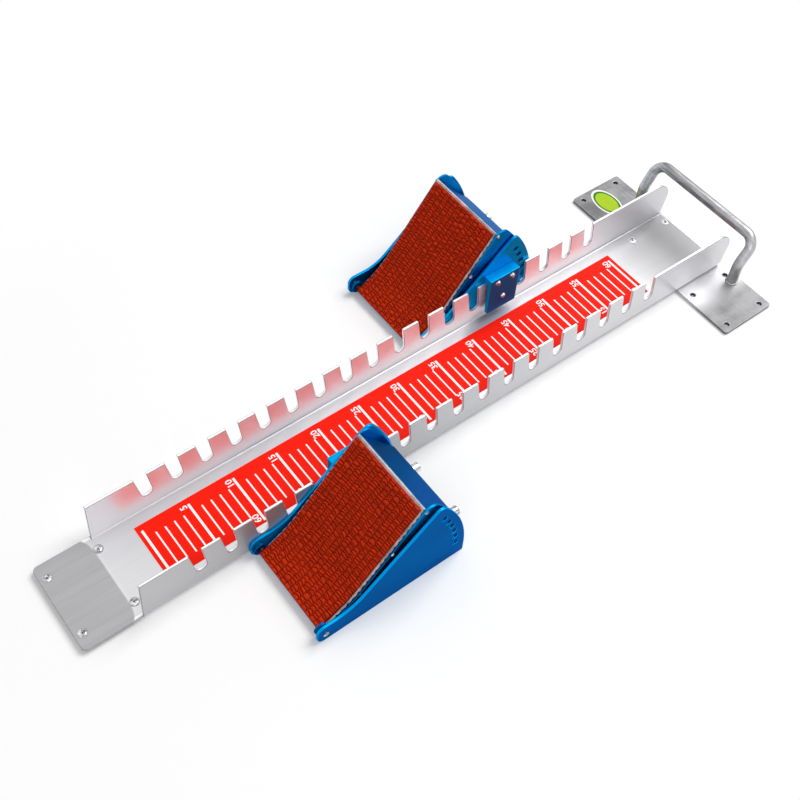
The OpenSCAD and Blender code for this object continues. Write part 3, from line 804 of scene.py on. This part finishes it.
def make_welds():
    """An uneven bead of weld round each foot of the handle."""
    for name, x in (("left_weld", HANDLE_X), ("right_weld", -HANDLE_X)):
        bm = bmesh.new()
        centre = Vector((x, HANDLE_Y, HANDLE_Z)) * MM
        start = centre + Vector((ROD_R + WELD_OFF[0], 0, WELD_OFF[1])) * MM
        rim = ring(bm, start, WELD_R * MM, WELD_SIDES, Matrix.Rotation(pi / 2, 3, "X"))
        bmesh.ops.spin(bm, geom=rim, cent=centre, axis=(0, 0, 1), dvec=(0, 0, 0), angle=2 * pi,
                       steps=WELD_STEPS, use_merge=True, use_duplicate=False)
        bmesh.ops.remove_doubles(bm, verts=bm.verts, dist=1e-6)
        for v in bm.verts:
            away = v.co - centre
            away.z = 0
            turn = Vector((1, 0)).angle_signed(Vector(away.xy))
            swell = 0.5 + 0.5 * sin(WELD_WAVES * turn)
            v.co += away.normalized() * (swell - 0.9) * WELD_SWELL * MM
            v.co.z = max(v.co.z, (HANDLE_Z + WELD_LIFT) * MM)
        face_out(bm)
        finished(name, bm, "rail", finish_of(drawn_aluminium))


# Scale

LABEL_TOP = 7.3
MAJOR_X = (-26.4, 30.6)
MINOR_X = (-17.9, 22.0)
MAJOR_W = 2.5
MINOR_W = 1.6
FAR_NUMBER_X = -27.5
NEAR_NUMBER_X = 20.0
NUMBER_GAP = 2.6
NUMBER_WEIGHT = 0.022
SCALE_END = 60
# The numbers of the two edges run against each other and add up to this.
BOTH_NUMBERS = 70


def printed_bar(bm, x0, x1, y0, y1, height):
    """A flat bar of ink on the label, in the scale's millimetres."""
    middle = Vector(((x0 + x1) / 2, (y0 + y1) / 2 + ZERO_Y, LABEL_TOP + height / MM / 2)) * MM
    size = Matrix.Diagonal((abs(x1 - x0) * MM, abs(y1 - y0) * MM, height, 1))
    bmesh.ops.create_cube(bm, size=1.0, matrix=Matrix.Translation(middle) @ size)


def printed_number(bm, text, size, x, y, height):
    """A number of the scale, laid on the label with its baseline along X."""
    curve = bpy.data.curves.new("number", "FONT")
    curve.body = text
    curve.size = size
    curve.offset = size * NUMBER_WEIGHT
    curve.align_x = "RIGHT"
    curve.resolution_u = 3
    holder = linked("number", curve)
    bpy.context.view_layer.update()
    mesh = bpy.data.meshes.new_from_object(
        holder.evaluated_get(bpy.context.evaluated_depsgraph_get()))
    turn = Matrix.Rotation(pi, 4, "Z")
    place = Matrix.Translation(Vector((x, y + ZERO_Y, LABEL_TOP)) * MM
                               + Vector((0, 0, height))) @ turn
    mesh.transform(place)
    bm.from_mesh(mesh)
    bpy.data.objects.remove(holder)
    bpy.data.curves.remove(curve)
    bpy.data.meshes.remove(mesh)


def make_scale(sizes):
    """Lines each centimetre and numbers each five centimetres, from both ends."""
    bm = bmesh.new()
    ink = sizes.print_height
    for tick in range(SCALE_END + 1):
        major = tick % 5 == 0
        half = (MAJOR_W if major else MINOR_W) / 2
        ends = MAJOR_X if major else MINOR_X
        printed_bar(bm, *ends, tick * 10 - half, tick * 10 + half, ink)
    for tick in range(5, SCALE_END + 1, 5):
        y = tick * 10 - NUMBER_GAP
        printed_number(bm, str(tick), sizes.digit, FAR_NUMBER_X, y, ink)
        if BOTH_NUMBERS - tick <= SCALE_END:
            printed_number(bm, str(BOTH_NUMBERS - tick), sizes.digit, NEAR_NUMBER_X, y, ink)
    finished("scale_print", bm, "rail", finish_of(label_print), smooth=False)
    paint("scale_label", finish_of(label_film))


def make_sticker(_sizes):
    """An oval disc of film in place of the plain one."""
    bm = bmesh.new()
    bmesh.ops.create_circle(bm, cap_ends=True, radius=0.5, segments=96)
    bmesh.ops.scale(bm, vec=(STICKER_SIZE[0] * MM, STICKER_SIZE[1] * MM, 1), verts=bm.verts)
    bmesh.ops.translate(bm, verts=bm.verts,
                        vec=Vector((STICKER_AT[0], STICKER_AT[1] + ZERO_Y, STICKER_Z[0])) * MM)
    thick = (STICKER_Z[1] - STICKER_Z[0]) * MM
    top = bmesh.ops.extrude_face_region(bm, geom=bm.faces[:])["geom"]
    bmesh.ops.translate(bm, verts=verts_of(top), vec=(0, 0, thick))
    face_out(bm)
    film = finished("oval_sticker", bm, "rail",
                    finish_of(sticker_film), ("plate_sticker",))
    film.data.set_sharp_from_angle(angle=ROUND_BELOW)


# Rows of the rail's screws along the scale and their way out from the middle, in millimetres.
SCREW_SPOTS = {"front_screws": (-93.7, -42.0), "rear_screws": (645.25, 697.75)}
SCREW_X = 33.2
SCREW_TOP = 7.0
SCREW_SIDES = 24
SCREW_TURN = 0.3
# Radii of the cross, as shares of its reach, over a quarter turn of its outline.
STAR = (1.0, 0.52, 0.38, 0.38, 0.38, 0.52)
PLAIN, RIM, CROSS = range(3)
# Rings of a sunk screw: radius, height over the sheet, and what the ring is. The band that ends
# in a RIM ring is the sheet's own rim, and a CROSS ring follows the cross's outline.
SCREW_RINGS = ((2.3, -2.4, PLAIN), (3.4, -1.0, PLAIN), (4.45, -0.02, PLAIN), (4.35, 0.06, PLAIN),
               (3.75, 0.07, RIM), (3.62, -0.22, PLAIN), (3.48, -0.22, PLAIN), (3.30, 0.16, PLAIN),
               (2.55, 0.40, PLAIN), (2.0, 0.44, CROSS), (1.75, -0.75, CROSS))


def make_screw(bm, x, y):
    """A sunk screw with a cross in its head, ring by ring from its neck to the cross."""
    last = None
    for radius, height, kind in SCREW_RINGS:
        loop = []
        for k in range(SCREW_SIDES):
            reach = radius * (STAR[k % len(STAR)] if kind == CROSS else 1.0)
            turn = 2 * pi * k / SCREW_SIDES + SCREW_TURN
            loop.append(bm.verts.new(((x + reach * cos(turn)) * MM,
                                      (y + ZERO_Y + reach * sin(turn)) * MM,
                                      (SCREW_TOP + height) * MM)))
        if last:
            for k in range(SCREW_SIDES):
                after = (k + 1) % SCREW_SIDES
                face = bm.faces.new((last[k], last[after], loop[after], loop[k]))
                face.material_index = 1 if kind == RIM else 0
        else:
            bm.faces.new(loop[::-1])
        last = loop
    # The bottom of the cross takes the painted shade of the holes.
    bm.faces.new(last).material_index = 2


def make_fasteners(_sizes):
    zinc = finish_of(zinc_steel)
    for node, rows in SCREW_SPOTS.items():
        bm = bmesh.new()
        for y in rows:
            for x in (-SCREW_X, SCREW_X):
                make_screw(bm, x, y)
        heads = finished(node[:-1] + "_heads", bm, "rail", zinc, (node,),
                         smooth=False)
        heads.data.materials.append(finish_of(screw_rim))
        heads.data.materials.append(finish_of(hole_shade))
    paint("front_nuts", zinc)
    for side in SIDES:
        for part in ("clamp_screws", "toe_rivets", "frame_screws"):
            paint(side + "_" + part, zinc)


# Pedals

# Share of the pedals' broken edge that the thin cheeks have.
CHEEK_EDGE = 0.6


def make_pedal_plates(sizes):
    for side in SIDES:
        for part in ("outer_plate", "inner_plate", "base_plate"):
            # The inner plates take the blue with painted light.
            sheet = light_blue_anodised if part == "inner_plate" else blue_anodised
            broken_edges(side + "_" + part, side + "_" + part + "_sheet",
                         (finish_of(sheet), finish_of(blue_edge)), sizes.edge,
                         rim_of_plate if part != "base_plate" else None)


def make_hooks(sizes):
    """The hook's leg is painted darker as shade, and its shelf and bar brighter as painted light.
    """
    shelf = finish_of(shelf_blue)
    for side in SIDES:
        broken_edges(side + "_hook_plate", side + "_hook_angle",
                     (finish_of(hook_anodised), shelf), sizes.edge, rim_of_plate)
        broken_edges(side + "_hook_block", side + "_hook_bar",
                     (shelf, finish_of(blue_edge)), sizes.edge)


def make_pad_frames(sizes):
    blue = finish_of(blue_anodised)
    for side in SIDES:
        broken_edges(side + "_pad_shell", side + "_pad_fold",
                     (blue, finish_of(blue_edge)), sizes.edge)
        for part in ("cheek_outer", "cheek_inner"):
            # The cheeks take the painted shade.
            broken_edges(side + "_" + part, side + "_" + part + "_sheet",
                         (finish_of(navy_anodised), blue), sizes.edge * CHEEK_EDGE)


def make_pins(_sizes):
    for side in SIDES:
        for part in ("pin_outer", "pin_inner", "stud_outer", "stud_inner", "pin_tube"):
            paint(side + "_" + part, finish_of(pin_steel))
        paint(side + "_lock_spring", finish_of(spring_steel))


# Rubber

def pad_point(run, depth):
    """A point under the pad's surface, at a run along it from the toe, beside the pivot."""
    along, away = Vector((cos(TOE_ANGLE), sin(TOE_ANGLE))), TOE_ANGLE
    curve_run = CURVE_R * (TOP_ANGLE - TOE_ANGLE)
    if run <= TOE_RUN:
        at = TOE_START + along * run
    else:
        end = TOE_START + along * TOE_RUN
        centre = end + CURVE_R * Vector((-sin(TOE_ANGLE), cos(TOE_ANGLE)))
        away = min(TOP_ANGLE, TOE_ANGLE + (run - TOE_RUN) / CURVE_R)
        at = centre + CURVE_R * Vector((sin(away), -cos(away)))
        if run > TOE_RUN + curve_run:
            at += Vector((cos(away), sin(away))) * (run - TOE_RUN - curve_run)
    return at + depth * Vector((sin(away), -cos(away)))


PAD_RUN = TOE_RUN + CURVE_R * (TOP_ANGLE - TOE_ANGLE) + TOP_RUN
BACKING_X = (57.4, 153.0)
BACKING_DEPTH = 4.0
BACKING_T = 2.0
BACKING_GRID = (8, 168)
RUBBER_SHORT = 2.7
MAT_SEEDS = {"left": 41, "right": 97}

# One lump of rubber: how far each of its lines lies across or along it, and how high it stands.
ACROSS = ((0.0, 0.24), (0.07, 0.60), (0.18, 0.86), (0.34, 0.98), (0.52, 1.0), (0.70, 0.93),
          (0.85, 0.74), (0.94, 0.42))
LENGTHWISE = ((0.0, 0.10), (0.13, 0.52), (0.32, 0.88), (0.56, 1.0), (0.80, 0.84))
LAST_LINE_HIGH = 0.36

# The line between two lumps, in lumps: its bow, how bow and slant vary, and how early or late it
# may lie.
LINE_BOW = 0.35
BOW_SPREAD = 0.60
SLANT_SPREAD = 0.75
EARLIEST = -0.45
LATEST = 0.55
LEAST_LUMP = 0.26

# Heights of the lumps: the least, the spread and how unevenly each one swells.
LEAST_HIGH = 0.58
HIGH_SPREAD = 0.42
LUMP_SWELL = 0.30

# How far the lines wander sideways, in millimetres, how fast across and along, and a seed.
WANDER = ((1.05, 0.25, 15, 0), (0.35, 0.9, 75, 7))
RIM_WANDER = (0.30, 1.0, 60, 0)

# The rim's depth as a share of the groove's, the skirt's height for its colour, which gives it the
# grooves' painted shade, and its gap.
RIM_DEPTH = 0.75
SKIRT_HIGH = 0.25
SKIRT_GAP = 0.02


def lie_on_pad(v, side, across, run, depth):
    """Moves a point to its place on the tilted pad."""
    at = Matrix.Rotation(radians(TILT[side]), 2) @ pad_point(run, depth)
    sign = 1 if side == "left" else -1
    v.co = Vector((sign * across, at.x + PIVOT_Y[side], at.y + PIVOT_Z)) * MM


class Ribs:
    """The uneven lines between the lumps of each rib of one mat."""

    def __init__(self, seed, ribs, lumps, ragged):
        chance = random.Random(seed)
        self.seed, self.lumps = seed, lumps
        self.lines, self.heights = [], []

        def spread(reach):
            return (chance.random() * 2 - 1) * reach

        for _ in range(ribs):
            phase = chance.random() - 0.5
            self.lines.append([(k + phase + spread(ragged), LINE_BOW + spread(BOW_SPREAD),
                                spread(SLANT_SPREAD)) for k in range(lumps + 1)])
            self.heights.append([LEAST_HIGH + HIGH_SPREAD * chance.random() for _ in range(lumps)])

    def line(self, rib, k, t):
        """Where line k of a rib lies along the pad, from 0 to 1, at a share t across the rib."""
        at, bow, slant = self.lines[rib][k]
        at += bow * (1 - (2 * t - 1) ** 2) + slant * (t - 0.5)
        return min(max(at / self.lumps, 0.0), 1.0)

    def spot(self, rib, t, lump, share):
        """How far along the pad a share of a lump lies, kept in order with its neighbours."""
        low, high = self.line(rib, lump, t), self.line(rib, lump + 1, t)
        start, middle, end = ((lump + part) / self.lumps for part in (EARLIEST, LATEST, LATEST + 1))
        low = min(max(low, start), middle)
        high = max(min(max(high, middle), end), low + LEAST_LUMP / self.lumps)
        if lump == 0:
            low = 0.0
        if lump == self.lumps - 1:
            high = 1.0
        return low + (high - low) * share

    def wander(self, across, run, reach, wide, long, more):
        """How far a point is moved sideways."""
        return reach * noise.noise(Vector((across * wide, run * long, self.seed + more)))


def make_mat(side, sizes):
    """A grid of ribs and lumps laid on the pad's line, with a skirt down to the backing."""
    ribs, lumps = sizes.ribs, sizes.lumps
    grid = Ribs(MAT_SEEDS[side], ribs, lumps, sizes.ragged)
    wide, tall = ribs * len(ACROSS), lumps * len(LENGTHWISE)
    bm = bmesh.new()
    bmesh.ops.create_grid(bm, x_segments=wide, y_segments=tall, size=0.5)
    relief = bm.verts.layers.float.new("relief")
    groove = sizes.relief / MM
    places = {}
    for v in bm.verts:
        i, j = round((v.co.x + 0.5) * wide), round((v.co.y + 0.5) * tall)
        rib, part = divmod(i, len(ACROSS))
        lump, line = divmod(j, len(LENGTHWISE))
        t, across_high = ACROSS[part]
        share, long_high = LENGTHWISE[line]
        if rib == ribs:
            rib, t = ribs - 1, 1.0
        if lump == lumps:
            lump, share, long_high = lumps - 1, 1.0, LAST_LINE_HIGH
        run = grid.spot(rib, t, lump, share)
        if part == 0 and 0 < i < wide:
            run = (run + grid.spot(rib - 1, 1.0, lump, share)) / 2
        high = grid.heights[rib][lump] * min(across_high, long_high)
        high *= 1 + LUMP_SWELL * noise.noise(Vector((rib * 5.1 + t * 2, run * 70, grid.seed)))
        across = RUBBER_X[0] + (RUBBER_X[1] - RUBBER_X[0]) * (rib + t) / ribs
        for step in WANDER if 0 < i < wide else (RIM_WANDER,):
            across += grid.wander(across, run, *step)
        v[relief] = min(max(high, 0.0), 1.0)
        at_rim = i in (0, wide) or j in (0, tall)
        places[v] = (across, run * (PAD_RUN - RUBBER_SHORT))
        lie_on_pad(v, side, *places[v], groove * (RIM_DEPTH if at_rim else 1 - v[relief]))
    rim = [e for e in bm.edges if e.is_boundary]
    skirt = bmesh.ops.extrude_edge_only(bm, edges=rim)["geom"]
    for v in verts_of(skirt):
        above = next(e.other_vert(v) for e in v.link_edges if e.other_vert(v) in places)
        v[relief] = SKIRT_HIGH
        lie_on_pad(v, side, *places[above], RUBBER_T - SKIRT_GAP)
    bmesh.ops.triangle_fill(bm, edges=edges_of(skirt), use_beauty=True)
    face_out(bm)
    piece = finished(side + "_mat", bm, side + "_pad", finish_of(red_rubber),
                     (side + "_rubber_pad",))
    piece.data.set_sharp_from_angle(angle=radians(75))


# The scallops of the web's sides, in millimetres; they begin beyond the toe.
SCALLOP_RUN = 7.0
SCALLOP_OUT = 1.0
SCALLOP_WANDER = 0.25
SCALLOP_LEAST = 0.05
SCALLOP_FROM = 11.0
WEB_SEEDS = {"left": 5, "right": 8}


def make_backing(side):
    """The web under the rubber, whose side edges stand out in scallops over the cheeks."""
    wide, tall = BACKING_GRID
    bm = bmesh.new()
    bmesh.ops.create_grid(bm, x_segments=wide, y_segments=tall, size=0.5)
    for v in bm.verts:
        i, j = round((v.co.x + 0.5) * wide), round((v.co.y + 0.5) * tall)
        run = PAD_RUN * j / tall
        across = BACKING_X[0] + (BACKING_X[1] - BACKING_X[0]) * i / wide
        if i in (0, wide) and SCALLOP_FROM < run < PAD_RUN - SCALLOP_RUN:
            out = SCALLOP_OUT * abs(sin(pi * (run + i) / SCALLOP_RUN)) ** 0.6
            out += SCALLOP_WANDER * noise.noise(Vector((i, run * 0.4, WEB_SEEDS[side])))
            across += max(out, SCALLOP_LEAST) * (1 if i else -1)
        lie_on_pad(v, side, across, run, BACKING_DEPTH)
    if side == "right":
        bmesh.ops.reverse_faces(bm, faces=bm.faces)
    web = finished(side + "_backing", bm, side + "_pad", finish_of(mat_backing),
                   (side + "_backing_sheet",))
    thick = web.modifiers.new("thickness", "SOLIDIFY")
    thick.thickness = BACKING_T * MM
    thick.offset = -1
    web.modifiers.new("even faces", "WEIGHTED_NORMAL").weight = 50


def make_mats(sizes):
    for side in SIDES:
        make_backing(side)
        make_mat(side, sizes)


# Stage

FLOOR_SIZE = 6.0
FLOOR_WHITE = (0.99, 0.99, 0.99, 1)
# Half width and half length of the ground that keeps its shadows, in metres, and over which
# squared distance beyond it the floor turns to the white backdrop.
SHADOW_X = 0.16
SHADOW_Y = 0.41
TO_WHITE = (0.02, 0.22)
# Width and place of each lamp, in metres.
MAIN_LAMP = (2.4, (0.1, 2.3, 3.5))
SIDE_LAMP = (1.2, (1.5, -1.2, 1.1))


def seen_share(holder):
    """1 for a ray from the camera or from a mirror-like or see-through surface, else 0."""
    path = holder.tree.nodes.new("ShaderNodeLightPath")
    seen, gloss, through = (Flow(holder, path.outputs["Is " + kind + " Ray"])
                            for kind in ("Camera", "Glossy", "Transmission"))
    return seen.most(gloss).most(through)


def make_world(sizes):
    world = bpy.data.worlds.new("white_room")
    world.use_nodes = True
    bpy.context.scene.world = world
    holder = Tree(world.node_tree)
    back = holder.tree.nodes["Background"]
    back.inputs["Color"].default_value = (1, 1, 1, 1)
    fill = sizes.world_fill
    holder.feed(back.inputs["Strength"], seen_share(holder) * (1 - fill) + fill)


def make_floor(sizes):
    bm = bmesh.new()
    bmesh.ops.create_grid(bm, x_segments=1, y_segments=1, size=FLOOR_SIZE)
    mesh = bpy.data.meshes.new("studio_floor")
    bm.to_mesh(mesh)
    bm.free()
    floor = linked("studio_floor", mesh)
    look = Finish("studio_floor_white", gleam=0.0)
    look.rough(0.9)
    look.colour(FLOOR_WHITE)
    nodes, links = look.tree.nodes, look.tree.links
    glow = nodes.new("ShaderNodeEmission")
    glow.inputs["Color"].default_value = (1, 1, 1, 1)
    mix = nodes.new("ShaderNodeMixShader")
    x, y, _ = look.axes()
    beyond = (x * x - SHADOW_X ** 2).most(0.0) + (y * y - SHADOW_Y ** 2).most(0.0)
    white = look.band(beyond, *TO_WHITE) * (1 - sizes.floor_glow) + sizes.floor_glow
    look.feed(mix.inputs[0], seen_share(look) * white)
    links.new(look.shader.outputs[0], mix.inputs[1])
    links.new(glow.outputs[0], mix.inputs[2])
    links.new(mix.outputs[0], nodes["Material Output"].inputs["Surface"])
    mesh.materials.append(look.material)


def make_lamp(name, power, size, at):
    """A square lamp that shines on the frame's origin."""
    lamp = bpy.data.lights.new(name, "AREA")
    lamp.shape = "SQUARE"
    lamp.size = size
    lamp.energy = power
    holder = linked(name, lamp)
    holder.location = at
    holder.rotation_euler = (-Vector(at)).to_track_quat("-Z", "Y").to_euler()


def make_camera():
    data = bpy.data.cameras.new("photo_camera")
    data.lens = CAMERA_LENS
    data.sensor_width = 36.0
    data.clip_start, data.clip_end = 0.05, 30.0
    camera = linked("photo_camera", data)
    right, down, ahead = (Vector(row) for row in CAMERA_TURN)
    turn = Matrix((right, -down, -ahead)).transposed()
    camera.matrix_world = Matrix.Translation(CAMERA_AT) @ turn.to_4x4()
    bpy.context.scene.camera = camera


def make_stage(sizes):
    make_world(sizes)
    make_floor(sizes)
    make_lamp("main_lamp", sizes.key_power, *MAIN_LAMP)
    make_lamp("side_lamp", sizes.side_power, *SIDE_LAMP)
    make_camera()
    bpy.context.scene.view_settings.view_transform = "Standard"


# Operators and panel

class MakesPieces:
    """Runs one making function with its group of sizes, which is the pedals' if none is named."""
    bl_options = {"REGISTER", "UNDO"}
    group = "blocks_pedals"

    def execute(self, context):
        type(self).make(getattr(context.scene, self.group))
        return {"FINISHED"}


class BLOCKS_OT_rail(MakesPieces, bpy.types.Operator):
    """Rail and cross plate with broken edges"""
    bl_idname = "blocks.rail"
    bl_label = "Rail and Cross Plate"
    group = "blocks_rail"
    make = make_rail


class BLOCKS_OT_handle(MakesPieces, bpy.types.Operator):
    """Bent carrying handle and its welds"""
    bl_idname = "blocks.handle"
    bl_label = "Carrying Handle"
    group = "blocks_rail"
    make = make_handle


class BLOCKS_OT_scale(MakesPieces, bpy.types.Operator):
    """Printed lines and numbers of the scale"""
    bl_idname = "blocks.scale"
    bl_label = "Scale"
    group = "blocks_scale"
    make = make_scale


class BLOCKS_OT_sticker(MakesPieces, bpy.types.Operator):
    """Plain oval sticker"""
    bl_idname = "blocks.sticker"
    bl_label = "Sticker"
    group = "blocks_scale"
    make = make_sticker


class BLOCKS_OT_fasteners(MakesPieces, bpy.types.Operator):
    """Screws, nuts and rivets"""
    bl_idname = "blocks.fasteners"
    bl_label = "Fasteners"
    group = "blocks_rail"
    make = make_fasteners


class BLOCKS_OT_pedal_plates(MakesPieces, bpy.types.Operator):
    """Side plates and base plates of both pedals"""
    bl_idname = "blocks.pedal_plates"
    bl_label = "Pedal Plates"
    make = make_pedal_plates


class BLOCKS_OT_hooks(MakesPieces, bpy.types.Operator):
    """Hooks that hold the pedals in the rail's notches"""
    bl_idname = "blocks.hooks"
    bl_label = "Hooks"
    make = make_hooks


class BLOCKS_OT_pad_frames(MakesPieces, bpy.types.Operator):
    """Folded shells and cheeks of both pads"""
    bl_idname = "blocks.pad_frames"
    bl_label = "Pad Frames"
    make = make_pad_frames


class BLOCKS_OT_pins(MakesPieces, bpy.types.Operator):
    """Lock pins, knobs, tubes and springs"""
    bl_idname = "blocks.pins"
    bl_label = "Lock Pins"
    make = make_pins


class BLOCKS_OT_mats(MakesPieces, bpy.types.Operator):
    """Backing webs and lumped rubber of both pads"""
    bl_idname = "blocks.mats"
    bl_label = "Rubber"
    make = make_mats


class BLOCKS_OT_stage(MakesPieces, bpy.types.Operator):
    """White room, floor, lamps and camera"""
    bl_idname = "blocks.stage"
    bl_label = "Stage"
    group = "blocks_stage"
    make = make_stage


# In the order of the classes above, which is the order of making.
MAKERS = MakesPieces.__subclasses__()


class BLOCKS_PT_panel(bpy.types.Panel):
    """Sizes, colours and makers of the starting blocks"""
    bl_idname = "BLOCKS_PT_panel"
    bl_label = "Starting Blocks"
    bl_space_type = "VIEW_3D"
    bl_region_type = "UI"
    bl_category = "Starting Blocks"

    def draw(self, context):
        for maker in MAKERS:
            self.layout.operator(maker.bl_idname)
        for group in GROUPS:
            sizes = getattr(context.scene, group)
            box = self.layout.box()
            for key in sizes.__annotations__:
                box.prop(sizes, key)


CLASSES = (*GROUPS.values(), *MAKERS, BLOCKS_PT_panel)


def register():
    for cls in CLASSES:
        bpy.utils.register_class(cls)
    for name, group in GROUPS.items():
        setattr(bpy.types.Scene, name, bpy.props.PointerProperty(type=group))


def unregister():
    for name in GROUPS:
        delattr(bpy.types.Scene, name)
    for cls in reversed(CLASSES):
        bpy.utils.unregister_class(cls)


def main():
    register()
    for maker in MAKERS:
        getattr(bpy.ops.blocks, maker.bl_idname.split(".")[1])()


if __name__ == "__main__":
    main()
